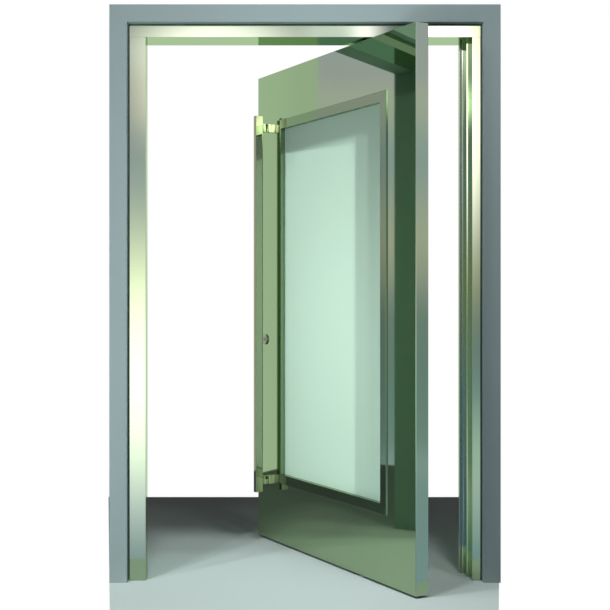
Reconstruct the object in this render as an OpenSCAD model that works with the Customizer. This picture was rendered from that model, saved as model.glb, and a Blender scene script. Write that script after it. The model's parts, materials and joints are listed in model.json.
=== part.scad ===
// Pivot entry door, shown part open, in millimetres.
// +X runs along the closed leaf to the heel edge, -Y is the outside face, +Z is up.
// The origin is the pivot axis at floor level, on the underside of the floor plate.
// The leaf turns about +Z at the origin; the modules below draw it closed and leaf_place() opens it.

/* [Leaf] */
// Width of the leaf over its edge caps
leaf_width = 1440; // [900:10:1800]
// Height of the leaf
leaf_height = 2400; // [2000:10:3000]
// Thickness of the leaf over both skins
leaf_thickness = 65; // [50:1:100]
// Thickness of each polished face sheet
skin_thickness = 2; // [1:0.5:3]
// Thickness of the folded strips that close the leaf's edges
edge_cap_thickness = 2; // [1:0.5:4]
// Chamfer on the outer corners of the side edge strips
edge_chamfer = 1.5; // [0.5:0.5:3]
// Opening angle at which the leaf is drawn
leaf_open_angle = 60.5; // [0:0.5:90]
// Distance from the heel edge of the leaf to the pivot axis
pivot_setback = 452; // [150:1:600]

/* [Window] */
// Width of leaf face between each side edge and the glazed opening
stile_width = 262; // [150:1:400]
// Height of the glazed opening above the bottom edge of the leaf
window_sill = 349; // [150:1:800]
// Height of leaf face between the glazed opening and the top edge of the leaf
window_head = 297; // [150:1:800]
// Width of the glazing bead's face
bead_width = 46; // [20:1:80]
// Height of the glazing bead's flat face above the leaf face
bead_proud = 6; // [3:0.5:12]
// Chamfer along the outer edge of the glazing bead
bead_chamfer = 1.5; // [0.5:0.5:2.5]
// How far the bead's nib covers the edge of the glass unit
glass_cover = 12; // [6:1:20]
// Room left around the glass unit inside the stiles and rails
glass_room = 3; // [2:0.5:6]
// Thickness of the whole sealed glass unit
unit_thickness = 32; // [20:1:44]
// Thickness of each pane of the unit
pane_thickness = 6; // [4:1:12]
// Width of the spacer bar between the panes
spacer_width = 12; // [6:1:16]
// Thickness of the rubber between bead and glass
gasket_thickness = 3; // [1:0.5:5]
// Width of the rubber between bead and glass
gasket_width = 10; // [5:1:12]

/* [Pull handle] */
// Width of the pull bar across the leaf
pull_width = 25; // [15:1:50]
// Depth of the pull bar away from the leaf
pull_depth = 42; // [15:1:60]
// Chamfer along the edges of the pull bar
pull_chamfer = 2; // [0.5:0.5:5]
// Distance from the bottom edge of the leaf to the lower end of the pull bar
pull_foot = 251; // [100:1:700]
// Distance from the upper end of the pull bar to the top edge of the leaf
pull_head = 223; // [60:1:700]
// Distance from the lock edge of the leaf to the middle of the pull bar
pull_inset = 146.5; // [60:0.5:300]
// Clear distance between the leaf face and the pull bar
pull_standoff = 53.5; // [30:0.5:90]
// Distance from each end of the pull bar to the middle of its arm
arm_inset = 58.5; // [30:0.5:400]
// Height of each arm
arm_height = 42; // [15:1:60]
// Width of the groove cut round each arm
arm_groove_width = 10; // [3:1:20]
// Depth of the groove cut round each arm
arm_groove_depth = 3; // [1:0.5:6]

/* [Lock] */
// Distance from the lock edge of the leaf to the middle of the cylinder
lock_backset = 85; // [40:1:120]
// Height of the cylinder above the floor
lock_height = 1040; // [900:1:1200]
// Diameter of the round rose
rose_diameter = 54; // [40:1:80]
// Thickness of the rose
rose_thickness = 8; // [4:0.5:15]
// Chamfer round the rim of the rose
rose_chamfer = 2; // [0.5:0.5:4]
// Diameter of the round key cylinder
cylinder_diameter = 22; // [14:1:30]
// Room on the radius round the key cylinder
cylinder_room = 0.1; // [0.05:0.05:0.3]
// How far the cylinder stands out of each rose
cylinder_proud = 2; // [1:0.5:6]
// Width of the key slot
key_slot_width = 3; // [2:0.5:4]
// Length of the key slot
key_slot_length = 11; // [6:1:14]
// Depth of the key slot
key_slot_depth = 9; // [4:1:15]
// Width of the faceplate in the lock edge
faceplate_width = 24; // [18:1:40]
// Length of the faceplate
faceplate_length = 270; // [180:5:400]
// Thickness of the faceplate and of the strike plate
faceplate_thickness = 3; // [2:0.5:5]
// Width of both bolts
bolt_width = 14; // [10:1:20]
// Height of the dead bolt
dead_bolt_height = 40; // [25:1:60]
// Height of the latch bolt
latch_bolt_height = 28; // [20:1:50]
// Distance between the middles of the two bolts
bolt_spacing = 95; // [70:1:140]
// How far the middle of the two bolts lies below the cylinder
bolt_drop = 20; // [0:1:60]
// Length of both bolts, drawn in, behind the faceplate
bolt_length = 45; // [25:1:70]
// Room round each bolt in the holes of the strike plate
strike_room = 2; // [1:0.5:5]
// Depth of the pocket behind the strike plate
strike_depth = 22; // [15:1:25]

/* [Frame] */
// Depth of the steel frame from front to back
frame_depth = 170; // [120:1:250]
// Width of the lock jamb's front face
lock_jamb_face = 72; // [50:1:120]
// Width of the heel jamb's front face
heel_jamb_face = 37; // [25:1:80]
// Height of the header's front face
header_face = 54; // [40:1:120]
// Thickness of the jambs beside the edges of the closed leaf
jamb_body = 53; // [40:1:90]
// Depth of the stop in front of the lock edge
front_stop_depth = 60; // [30:1:90]
// How far the stop behind the heel edge covers the leaf
heel_stop_cover = 16; // [10:1:40]
// Gap beside each edge of the closed leaf
side_gap = 7; // [5:0.5:12]
// Gap above the leaf
head_gap = 6; // [5:0.5:12]
// Gap under the leaf
bottom_gap = 10; // [5:0.5:20]
// Gap kept between the closed leaf and the stop seals
stop_gap = 5; // [3:0.5:8]
// How far the stop seals stand out of the stops
seal_proud = 2; // [1:0.5:5]
// Width of the stop seals
seal_width = 8; // [4:1:12]
// Depth of the grooves that hold the stop seals
seal_groove = 4; // [2:0.5:8]

/* [Outer surround] */
// Width of the surround's front face on both sides and over the head
surround_width = 77; // [40:1:200]
// Depth of the surround from front to back
surround_depth = 452; // [200:1:600]
// How far the surround stands in front of the steel frame
surround_forward = 40; // [0:1:80]
// Dark gap between the steel frame and the surround at each side
shadow_gap = 6; // [3:0.5:12]
// Dark gap between the header and the surround
head_shadow_gap = 4; // [3:0.5:12]
// How far the dark seal in that gap is set back from the front of the frame
shadow_setback = 12; // [4:1:30]

/* [Pivots] */
// Diameter of the round floor plate, hidden under the leaf at every opening angle
floor_plate_diameter = 64; // [56:1:90]
// Thickness of the floor plate
floor_plate_thickness = 5; // [4:0.5:8]
// Diameter of the circle of holes in the floor plate
floor_hole_circle = 50; // [44:1:70]
// Diameter of the holes in the floor plate
floor_hole_diameter = 6.6; // [4.5:0.1:9]
// Number of holes in the floor plate
floor_hole_count = 4; // [3:1:6]
// Diameter of the pivot pins
pivot_diameter = 22; // [14:1:32]
// Diameter of the bottom pin's thrust collar
collar_diameter = 36; // [30:1:60]
// Height of the bottom pin above the bottom edge of the leaf
bottom_pin_reach = 45; // [25:1:80]
// Length of the top pin inside the leaf
top_pin_reach = 32; // [20:1:60]
// Room on the radius between each pin and its bore
pivot_clearance = 0.06; // [0.02:0.01:0.1]
// Room over the thrust collar
thrust_clearance = 0.3; // [0.1:0.1:0.5]
// Length of the blocks that hold the bores in the leaf
pivot_block_length = 150; // [100:5:240]
// Width of the blocks that hold the bores in the leaf
pivot_block_width = 44; // [36:1:60]
// Height of the blocks that hold the bores in the leaf
pivot_block_height = 60; // [40:1:90]
// Thickness of the top pivot's plate in the header
top_plate_thickness = 8; // [5:1:15]
// Length of the top pin inside the header, above its plate
top_pin_anchor = 30; // [10:1:40]

/* [Hidden] */
$fn = 96;
// Small overlap that keeps a cutting shape from ending on a face
cut = 1;

// Leaf edges, measured from the pivot with the leaf closed
heel_x = pivot_setback;
lock_x = pivot_setback - leaf_width;
leaf_front_y = -leaf_thickness / 2;
leaf_back_y = leaf_thickness / 2;
leaf_bottom_z = bottom_gap;
leaf_top_z = bottom_gap + leaf_height;
core_front_y = leaf_front_y + skin_thickness;
core_back_y = leaf_back_y - skin_thickness;
core_heel_x = heel_x - edge_cap_thickness;
core_lock_x = lock_x + edge_cap_thickness;
core_top_z = leaf_top_z - edge_cap_thickness;

// Glazed opening and the larger opening through stiles, rails and skins
window_lock_x = lock_x + stile_width;
window_heel_x = heel_x - stile_width;
window_bottom_z = leaf_bottom_z + window_sill;
window_top_z = leaf_top_z - window_head;
nib_width = glass_cover + glass_room;
unit_front_y = -unit_thickness / 2;
gasket_front_y = unit_front_y - gasket_thickness;

// Lock and pull positions
lock_cylinder_x = lock_x + lock_backset;
pull_x = lock_x + pull_inset;
pull_bottom_z = leaf_bottom_z + pull_foot;
pull_top_z = leaf_top_z - pull_head;
dead_bolt_z = lock_height + bolt_spacing / 2 - bolt_drop;
latch_bolt_z = dead_bolt_z - bolt_spacing;
faceplate_z = (dead_bolt_z + latch_bolt_z) / 2;

// Frame planes, measured from the pivot
frame_front_y = leaf_front_y - stop_gap - seal_proud - front_stop_depth;
frame_back_y = frame_front_y + frame_depth;
front_stop_y = frame_front_y + front_stop_depth;
heel_stop_y = leaf_back_y + stop_gap + seal_proud;
rebate_lock_x = lock_x - side_gap;
rebate_heel_x = heel_x + side_gap;
frame_lock_x = rebate_lock_x - jamb_body;
frame_heel_x = rebate_heel_x + jamb_body;
soffit_z = leaf_top_z + head_gap;
header_top_z = soffit_z + header_face;
surround_front_y = frame_front_y - surround_forward;
surround_lock_x = frame_lock_x - shadow_gap;
surround_heel_x = frame_heel_x + shadow_gap;
surround_soffit_z = header_top_z + head_shadow_gap;
surround_top_z = surround_soffit_z + surround_width;

// Colours
steel = [0.62, 0.68, 0.60];
dark_steel = [0.35, 0.38, 0.36];
black_rubber = [0.06, 0.06, 0.06];
grey_coat = [0.52, 0.60, 0.60];
mint_glass = [0.66, 0.85, 0.76, 0.6];
grey_core = [0.45, 0.45, 0.44];

// Shared shapes
module box(x0, x1, y0, y1, z0, z1) {
    translate([x0, y0, z0])
        cube([x1 - x0, y1 - y0, z1 - z0]);
}

// Upright bar with its four long edges chamfered
module chamfered_bar(x0, x1, y0, y1, z0, z1, c) {
    translate([0, 0, z0])
        linear_extrude(height = z1 - z0)
            polygon([
                [x0 + c, y0], [x1 - c, y0], [x1, y0 + c], [x1, y1 - c],
                [x1 - c, y1], [x0 + c, y1], [x0, y1 - c], [x0, y0 + c]
            ]);
}

module leaf_place() {
    rotate([0, 0, -leaf_open_angle])
        children();
}

// Repeats a front piece on the rear face of the leaf
module rear_side() {
    mirror([0, 1, 0])
        children();
}

module core_opening(y0, y1) {
    box(window_lock_x - nib_width, window_heel_x + nib_width, y0, y1,
        window_bottom_z - nib_width, window_top_z + nib_width);
}

module cylinder_hole(diameter) {
    translate([lock_cylinder_x, 0, lock_height])
        rotate([90, 0, 0])
            cylinder(h = 2 * leaf_thickness, d = diameter, center = true);
}

// Pocket for the faceplate and the two bolts, from the lock edge inwards
module lock_pocket() {
    box(lock_x - cut, lock_x + faceplate_thickness, -faceplate_width / 2, faceplate_width / 2,
        faceplate_z - faceplate_length / 2, faceplate_z + faceplate_length / 2);
    bolt_shape(dead_bolt_z, dead_bolt_height, lock_x, lock_x + bolt_length);
    bolt_shape(latch_bolt_z, latch_bolt_height, lock_x, lock_x + bolt_length);
}

module bolt_shape(z, height, x0, x1) {
    box(x0, x1, -bolt_width / 2, bolt_width / 2, z - height / 2, z + height / 2);
}

// Outer surround
module surround_leg(x0, x1) {
    box(x0, x1, surround_front_y, surround_front_y + surround_depth, 0, surround_soffit_z);
}

module surround_left() {
    color(grey_coat)
        surround_leg(surround_lock_x - surround_width, surround_lock_x);
}

module surround_right() {
    color(grey_coat)
        surround_leg(surround_heel_x, surround_heel_x + surround_width);
}

module surround_head() {
    color(grey_coat)
        box(surround_lock_x - surround_width, surround_heel_x + surround_width,
            surround_front_y, surround_front_y + surround_depth, surround_soffit_z, surround_top_z);
}

// Dark strip that fills the gap between the steel frame and the surround
module shadow_gap_seal() {
    color(black_rubber) {
        box(surround_lock_x, frame_lock_x, frame_front_y + shadow_setback, frame_back_y - shadow_setback,
            0, surround_soffit_z);
        box(frame_heel_x, surround_heel_x, frame_front_y + shadow_setback, frame_back_y - shadow_setback,
            0, surround_soffit_z);
        box(frame_lock_x, frame_heel_x, frame_front_y + shadow_setback, frame_back_y - shadow_setback,
            header_top_z, surround_soffit_z);
    }
}

// Steel frame
module lock_jamb() {
    color(steel)
        difference() {
            linear_extrude(height = soffit_z)
                polygon([
                    [frame_lock_x, frame_front_y],
                    [frame_lock_x + lock_jamb_face, frame_front_y],
                    [frame_lock_x + lock_jamb_face, front_stop_y],
                    [rebate_lock_x, front_stop_y],
                    [rebate_lock_x, frame_back_y],
                    [frame_lock_x, frame_back_y]
                ]);
            lock_seal_shape();
            strike_pocket();
        }
}

module heel_jamb() {
    color(steel)
        difference() {
            linear_extrude(height = soffit_z)
                polygon([
                    [frame_heel_x, frame_front_y],
                    [frame_heel_x, frame_back_y],
                    [heel_x - heel_stop_cover, frame_back_y],
                    [heel_x - heel_stop_cover, heel_stop_y],
                    [rebate_heel_x, heel_stop_y],
                    [rebate_heel_x, leaf_front_y],
                    [frame_heel_x - heel_jamb_face, leaf_front_y],
                    [frame_heel_x - heel_jamb_face, frame_front_y]
                ]);
            heel_seal_shape();
        }
}

module header() {
    color(steel)
        difference() {
            box(frame_lock_x, frame_heel_x, frame_front_y, frame_back_y, soffit_z, header_top_z);
            top_plate_shape();
            top_pin_shape();
        }
}

// Seals let into the two stops
module lock_seal_shape() {
    seal_x = (frame_lock_x + lock_jamb_face + lock_x) / 2;
    box(seal_x - seal_width / 2, seal_x + seal_width / 2,
        front_stop_y - seal_groove, front_stop_y + seal_proud, 0, soffit_z);
}

module heel_seal_shape() {
    seal_x = heel_x - heel_stop_cover / 2;
    box(seal_x - seal_width / 2, seal_x + seal_width / 2,
        heel_stop_y - seal_proud, heel_stop_y + seal_groove, 0, soffit_z);
}

module stop_seals() {
    color(black_rubber) {
        lock_seal_shape();
        heel_seal_shape();
    }
}

// Strike plate in the lock jamb, with room behind it for the bolts
module strike_body() {
    box(rebate_lock_x - faceplate_thickness, rebate_lock_x, -faceplate_width / 2, faceplate_width / 2,
        faceplate_z - faceplate_length / 2, faceplate_z + faceplate_length / 2);
}

module strike_holes() {
    depth = faceplate_thickness + strike_depth;
    bolt_shape(dead_bolt_z, dead_bolt_height + 2 * strike_room, rebate_lock_x - depth, rebate_lock_x + cut);
    bolt_shape(latch_bolt_z, latch_bolt_height + 2 * strike_room, rebate_lock_x - depth, rebate_lock_x + cut);
}

module strike_pocket() {
    strike_body();
    strike_holes();
}

module strike_plate() {
    color(dark_steel)
        difference() {
            strike_body();
            strike_holes();
        }
}

// Pivots on the frame's side
module floor_plate() {
    color(dark_steel)
        difference() {
            cylinder(h = floor_plate_thickness, d = floor_plate_diameter);
            for (i = [0 : floor_hole_count - 1])
                rotate([0, 0, (i + 0.5) * 360 / floor_hole_count])
                    translate([floor_hole_circle / 2, 0, -cut])
                        cylinder(h = floor_plate_thickness + 2 * cut, d = floor_hole_diameter);
        }
}

module bottom_pivot_pin() {
    color(steel) {
        translate([0, 0, floor_plate_thickness])
            cylinder(h = bottom_gap - floor_plate_thickness - thrust_clearance, d = collar_diameter);
        translate([0, 0, floor_plate_thickness])
            cylinder(h = bottom_gap - floor_plate_thickness + bottom_pin_reach, d = pivot_diameter);
    }
}

module top_plate_shape() {
    box(-pivot_block_length / 2, pivot_block_length / 2, -pivot_block_width / 2, pivot_block_width / 2,
        soffit_z, soffit_z + top_plate_thickness);
}

module top_pin_shape() {
    pin_foot_z = leaf_top_z - top_pin_reach;
    pin_head_z = soffit_z + top_plate_thickness + top_pin_anchor;
    translate([0, 0, pin_foot_z])
        cylinder(h = pin_head_z - pin_foot_z, d = pivot_diameter);
}

module top_pivot() {
    color(dark_steel) {
        top_plate_shape();
        top_pin_shape();
    }
}

// Pivots on the leaf's side
module bottom_block_shape() {
    box(-pivot_block_length / 2, pivot_block_length / 2, -pivot_block_width / 2, pivot_block_width / 2,
        leaf_bottom_z, leaf_bottom_z + pivot_block_height);
}

module top_block_shape() {
    box(-pivot_block_length / 2, pivot_block_length / 2, -pivot_block_width / 2, pivot_block_width / 2,
        leaf_top_z - pivot_block_height, leaf_top_z);
}

module bottom_pivot_block() {
    color(dark_steel)
        leaf_place()
            difference() {
                bottom_block_shape();
                translate([0, 0, leaf_bottom_z - cut])
                    cylinder(h = bottom_pin_reach + thrust_clearance + cut,
                        d = pivot_diameter + 2 * pivot_clearance);
            }
}

module top_pivot_block() {
    color(dark_steel)
        leaf_place()
            difference() {
                top_block_shape();
                translate([0, 0, leaf_top_z - top_pin_reach - thrust_clearance])
                    cylinder(h = top_pin_reach + thrust_clearance + cut,
                        d = pivot_diameter + 2 * pivot_clearance);
            }
}

// Core of the leaf
module lock_stile() {
    color(grey_core)
        leaf_place()
            difference() {
                box(core_lock_x, window_lock_x - nib_width, core_front_y, core_back_y,
                    leaf_bottom_z, core_top_z);
                lock_pocket();
                cylinder_hole(cylinder_diameter + 2 * cylinder_room);
                seal_channel();
            }
}

module heel_stile() {
    color(grey_core)
        leaf_place()
            difference() {
                box(window_heel_x + nib_width, core_heel_x, core_front_y, core_back_y,
                    leaf_bottom_z, core_top_z);
                seal_channel();
            }
}

module top_rail() {
    color(grey_core)
        leaf_place()
            difference() {
                box(window_lock_x - nib_width, window_heel_x + nib_width, core_front_y, core_back_y,
                    window_top_z + nib_width, core_top_z);
                top_block_shape();
            }
}

module bottom_rail() {
    color(grey_core)
        leaf_place()
            difference() {
                box(window_lock_x - nib_width, window_heel_x + nib_width, core_front_y, core_back_y,
                    leaf_bottom_z, window_bottom_z - nib_width);
                bottom_block_shape();
                seal_channel();
            }
}

// Rubber sweep let into the bottom edge, either side of the pivot block
module seal_shape() {
    box(core_lock_x, -pivot_block_length / 2, -seal_width, seal_width,
        leaf_bottom_z, leaf_bottom_z + 2 * seal_width);
    box(pivot_block_length / 2, core_heel_x, -seal_width, seal_width,
        leaf_bottom_z, leaf_bottom_z + 2 * seal_width);
}

module seal_channel() {
    seal_shape();
}

module bottom_seal() {
    color(black_rubber)
        leaf_place()
            seal_shape();
}

// Polished face sheets with the window cut out
module skin_shape() {
    difference() {
        box(core_lock_x, core_heel_x, leaf_front_y, core_front_y, leaf_bottom_z, core_top_z);
        core_opening(leaf_front_y - cut, core_front_y + cut);
        cylinder_hole(cylinder_diameter + 2 * cylinder_room);
    }
}

module front_skin() {
    color(steel)
        leaf_place()
            skin_shape();
}

module rear_skin() {
    color(steel)
        leaf_place()
            rear_side()
                skin_shape();
}

// Strips that close the edges; inner_x is the side against the stile
module side_cap_shape(inner_x, outer_x) {
    chamfer_x = outer_x + (outer_x > inner_x ? -edge_chamfer : edge_chamfer);
    translate([0, 0, leaf_bottom_z])
        linear_extrude(height = leaf_height)
            polygon([
                [inner_x, leaf_front_y],
                [chamfer_x, leaf_front_y],
                [outer_x, leaf_front_y + edge_chamfer],
                [outer_x, leaf_back_y - edge_chamfer],
                [chamfer_x, leaf_back_y],
                [inner_x, leaf_back_y]
            ]);
}

module lock_edge_cap() {
    color(steel)
        leaf_place()
            difference() {
                side_cap_shape(core_lock_x, lock_x);
                lock_pocket();
            }
}

module heel_edge_cap() {
    color(steel)
        leaf_place()
            side_cap_shape(core_heel_x, heel_x);
}

module top_edge_cap() {
    color(steel)
        leaf_place()
            difference() {
                box(core_lock_x, core_heel_x, leaf_front_y, leaf_back_y, core_top_z, leaf_top_z);
                top_block_shape();
            }
}

// Sealed glass unit
module unit_slab(y0, y1) {
    box(window_lock_x - glass_cover, window_heel_x + glass_cover, y0, y1,
        window_bottom_z - glass_cover, window_top_z + glass_cover);
}

module outer_glass() {
    color(mint_glass)
        leaf_place()
            unit_slab(unit_front_y, unit_front_y + pane_thickness);
}

module inner_glass() {
    color(mint_glass)
        leaf_place()
            rear_side()
                unit_slab(unit_front_y, unit_front_y + pane_thickness);
}

module glass_spacer() {
    color(dark_steel)
        leaf_place()
            difference() {
                unit_slab(unit_front_y + pane_thickness, -unit_front_y - pane_thickness);
                box(window_lock_x - glass_cover + spacer_width, window_heel_x + glass_cover - spacer_width,
                    unit_front_y, -unit_front_y,
                    window_bottom_z - glass_cover + spacer_width, window_top_z + glass_cover - spacer_width);
            }
}

// Rubber rings between the beads and the glass
module gasket_shape() {
    difference() {
        box(window_lock_x - gasket_width, window_heel_x + gasket_width, gasket_front_y, unit_front_y,
            window_bottom_z - gasket_width, window_top_z + gasket_width);
        box(window_lock_x, window_heel_x, gasket_front_y - cut, unit_front_y + cut,
            window_bottom_z, window_top_z);
    }
}

module glass_gaskets() {
    color(black_rubber)
        leaf_place() {
            gasket_shape();
            rear_side()
                gasket_shape();
        }
}

// Glazing beads, mitred at the corners: a flat flange on the leaf face, chamfered
// along its outer edge, and a nib that reaches inwards and presses on the gasket
module upright_flange(inner_x, outward) {
    translate([0, 0, window_bottom_z - bead_width])
        linear_extrude(height = window_top_z - window_bottom_z + 2 * bead_width)
            polygon([
                [inner_x, leaf_front_y],
                [inner_x, leaf_front_y - bead_proud],
                [inner_x + outward * (bead_width - bead_chamfer), leaf_front_y - bead_proud],
                [inner_x + outward * bead_width, leaf_front_y - bead_proud + bead_chamfer],
                [inner_x + outward * bead_width, leaf_front_y]
            ]);
}

// The rotation lays the outline, drawn as depth and height, across the leaf
module level_flange(inner_z, outward) {
    translate([window_lock_x - bead_width, 0, 0])
        rotate([90, 0, 90])
            linear_extrude(height = window_heel_x - window_lock_x + 2 * bead_width)
                polygon([
                    [leaf_front_y, inner_z],
                    [leaf_front_y - bead_proud, inner_z],
                    [leaf_front_y - bead_proud, inner_z + outward * (bead_width - bead_chamfer)],
                    [leaf_front_y - bead_proud + bead_chamfer, inner_z + outward * bead_width],
                    [leaf_front_y, inner_z + outward * bead_width]
                ]);
}

module bead_flange(side) {
    if (side == "lock") upright_flange(window_lock_x, -1);
    if (side == "heel") upright_flange(window_heel_x, 1);
    if (side == "top") level_flange(window_top_z, 1);
    if (side == "bottom") level_flange(window_bottom_z, -1);
}

// A wedge that keeps one side of the ring, split along the mitres
module bead_side_wedge(side) {
    far = bead_width + cut;
    lx = window_lock_x;
    hx = window_heel_x;
    bz = window_bottom_z;
    tz = window_top_z;
    outline = side == "top" ? [[lx - far, tz + far], [lx, tz], [hx, tz], [hx + far, tz + far]]
        : side == "bottom" ? [[lx - far, bz - far], [hx + far, bz - far], [hx, bz], [lx, bz]]
        : side == "lock" ? [[lx - far, tz + far], [lx - far, bz - far], [lx, bz], [lx, tz]]
        : [[hx + far, tz + far], [hx, tz], [hx, bz], [hx + far, bz - far]];
    rotate([90, 0, 0])
        linear_extrude(height = 2 * leaf_thickness, center = true)
            polygon(outline);
}

module bead(side) {
    intersection() {
        union() {
            bead_flange(side);
            core_opening(leaf_front_y - cut, gasket_front_y);
        }
        bead_side_wedge(side);
    }
}

module front_bead_top() {
    color(steel)
        leaf_place()
            bead("top");
}

module front_bead_bottom() {
    color(steel)
        leaf_place()
            bead("bottom");
}

module front_bead_lock() {
    color(steel)
        leaf_place()
            bead("lock");
}

module front_bead_heel() {
    color(steel)
        leaf_place()
            bead("heel");
}

module rear_bead_top() {
    color(steel)
        leaf_place()
            rear_side()
                bead("top");
}

module rear_bead_bottom() {
    color(steel)
        leaf_place()
            rear_side()
                bead("bottom");
}

module rear_bead_lock() {
    color(steel)
        leaf_place()
            rear_side()
                bead("lock");
}

module rear_bead_heel() {
    color(steel)
        leaf_place()
            rear_side()
                bead("heel");
}

// Pull handles
module pull_bar_shape() {
    chamfered_bar(pull_x - pull_width / 2, pull_x + pull_width / 2,
        leaf_front_y - pull_standoff - pull_depth, leaf_front_y - pull_standoff,
        pull_bottom_z, pull_top_z, pull_chamfer);
}

module pull_arm_shape(z) {
    groove_y = leaf_front_y - pull_standoff / 2;
    half = pull_width / 2;
    difference() {
        box(pull_x - half, pull_x + half, leaf_front_y - pull_standoff, leaf_front_y,
            z - arm_height / 2, z + arm_height / 2);
        difference() {
            box(pull_x - half - cut, pull_x + half + cut, groove_y - arm_groove_width / 2,
                groove_y + arm_groove_width / 2, z - arm_height / 2 - cut, z + arm_height / 2 + cut);
            box(pull_x - half + arm_groove_depth, pull_x + half - arm_groove_depth,
                groove_y - arm_groove_width, groove_y + arm_groove_width,
                z - arm_height / 2 + arm_groove_depth, z + arm_height / 2 - arm_groove_depth);
        }
    }
}

module pull_arms_shape() {
    pull_arm_shape(pull_top_z - arm_inset);
    pull_arm_shape(pull_bottom_z + arm_inset);
}

module front_pull_bar() {
    color(steel)
        leaf_place()
            pull_bar_shape();
}

module front_pull_arms() {
    color(steel)
        leaf_place()
            pull_arms_shape();
}

module rear_pull_bar() {
    color(steel)
        leaf_place()
            rear_side()
                pull_bar_shape();
}

module rear_pull_arms() {
    color(steel)
        leaf_place()
            rear_side()
                pull_arms_shape();
}

// Lock
module rose_shape() {
    translate([lock_cylinder_x, leaf_front_y, lock_height])
        rotate([90, 0, 0])
            difference() {
                union() {
                    cylinder(h = rose_thickness - rose_chamfer, d = rose_diameter);
                    translate([0, 0, rose_thickness - rose_chamfer])
                        cylinder(h = rose_chamfer, d1 = rose_diameter, d2 = rose_diameter - 2 * rose_chamfer);
                }
                translate([0, 0, -cut])
                    cylinder(h = rose_thickness + 2 * cut, d = cylinder_diameter + 2 * cylinder_room);
            }
}

module front_lock_rose() {
    color(steel)
        leaf_place()
            rose_shape();
}

module rear_lock_rose() {
    color(steel)
        leaf_place()
            rear_side()
                rose_shape();
}

module lock_cylinder() {
    half_length = leaf_thickness / 2 + rose_thickness + cylinder_proud;
    color(dark_steel)
        leaf_place()
            translate([lock_cylinder_x, 0, lock_height])
                difference() {
                    rotate([90, 0, 0])
                        cylinder(h = 2 * half_length, d = cylinder_diameter, center = true);
                    for (side = [-1, 1])
                        translate([0, side * half_length, 0])
                            cube([key_slot_width, 2 * key_slot_depth, key_slot_length], center = true);
                }
}

module lock_faceplate() {
    color(dark_steel)
        leaf_place()
            difference() {
                box(lock_x, lock_x + faceplate_thickness, -faceplate_width / 2, faceplate_width / 2,
                    faceplate_z - faceplate_length / 2, faceplate_z + faceplate_length / 2);
                bolt_shape(dead_bolt_z, dead_bolt_height, lock_x - cut, lock_x + bolt_length);
                bolt_shape(latch_bolt_z, latch_bolt_height, lock_x - cut, lock_x + bolt_length);
            }
}

module lock_bolts() {
    color(steel)
        leaf_place() {
            bolt_shape(dead_bolt_z, dead_bolt_height, lock_x, lock_x + bolt_length);
            bolt_shape(latch_bolt_z, latch_bolt_height, lock_x, lock_x + bolt_length);
        }
}

surround_left();
surround_right();
surround_head();
shadow_gap_seal();
lock_jamb();
heel_jamb();
header();
stop_seals();
strike_plate();
floor_plate();
bottom_pivot_pin();
top_pivot();
lock_stile();
heel_stile();
top_rail();
bottom_rail();
front_skin();
rear_skin();
lock_edge_cap();
heel_edge_cap();
top_edge_cap();
bottom_seal();
outer_glass();
inner_glass();
glass_spacer();
glass_gaskets();
front_bead_top();
front_bead_bottom();
front_bead_lock();
front_bead_heel();
rear_bead_top();
rear_bead_bottom();
rear_bead_lock();
rear_bead_heel();
front_pull_bar();
front_pull_arms();
rear_pull_bar();
rear_pull_arms();
front_lock_rose();
rear_lock_rose();
lock_cylinder();
lock_faceplate();
lock_bolts();
bottom_pivot_block();
top_pivot_block();
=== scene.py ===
# Finishes, small fittings, studio and camera for a polished steel pivot entry door, in metres.
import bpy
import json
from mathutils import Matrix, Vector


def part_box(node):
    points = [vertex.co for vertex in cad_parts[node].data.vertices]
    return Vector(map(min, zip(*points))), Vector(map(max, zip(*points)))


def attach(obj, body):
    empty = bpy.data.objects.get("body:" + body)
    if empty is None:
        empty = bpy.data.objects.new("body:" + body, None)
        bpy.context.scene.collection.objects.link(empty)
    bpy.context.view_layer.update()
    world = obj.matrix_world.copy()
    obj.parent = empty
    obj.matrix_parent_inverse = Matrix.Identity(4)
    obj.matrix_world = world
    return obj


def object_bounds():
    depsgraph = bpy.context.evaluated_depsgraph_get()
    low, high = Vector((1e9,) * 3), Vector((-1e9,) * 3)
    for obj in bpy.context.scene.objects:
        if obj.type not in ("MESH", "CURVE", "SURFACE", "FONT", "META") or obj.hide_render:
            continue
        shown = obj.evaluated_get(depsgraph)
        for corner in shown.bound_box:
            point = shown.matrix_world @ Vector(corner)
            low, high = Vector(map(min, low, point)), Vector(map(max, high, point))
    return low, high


bl_info = {
    "name": "Pivot Entry Door Finishes",
    "version": (1, 0, 0),
    "blender": (4, 5, 0),
    "location": "View3D > Sidebar > Door",
    "description": "Finishes a polished steel pivot door: frame, glass, pull handles, lock and studio",
    "category": "Object",
}

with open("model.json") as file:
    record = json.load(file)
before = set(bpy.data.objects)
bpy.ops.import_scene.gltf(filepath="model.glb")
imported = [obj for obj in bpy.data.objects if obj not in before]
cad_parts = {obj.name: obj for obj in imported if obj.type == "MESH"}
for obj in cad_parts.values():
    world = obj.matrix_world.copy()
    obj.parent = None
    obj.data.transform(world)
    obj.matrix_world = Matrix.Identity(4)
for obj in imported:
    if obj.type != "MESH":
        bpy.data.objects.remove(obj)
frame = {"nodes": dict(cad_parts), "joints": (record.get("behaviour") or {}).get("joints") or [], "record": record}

import json
import math

import bmesh
import bpy
from mathutils import Matrix, Vector

NODES = frame["nodes"]
CAD_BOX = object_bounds()
MM = 0.001
OPEN_ANGLE = -math.radians(frame["joints"][0]["range_deg"][0])
LEAF_TURN = Matrix.Rotation(-OPEN_ANGLE, 4, "Z")


# Settings that a user changes

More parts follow.
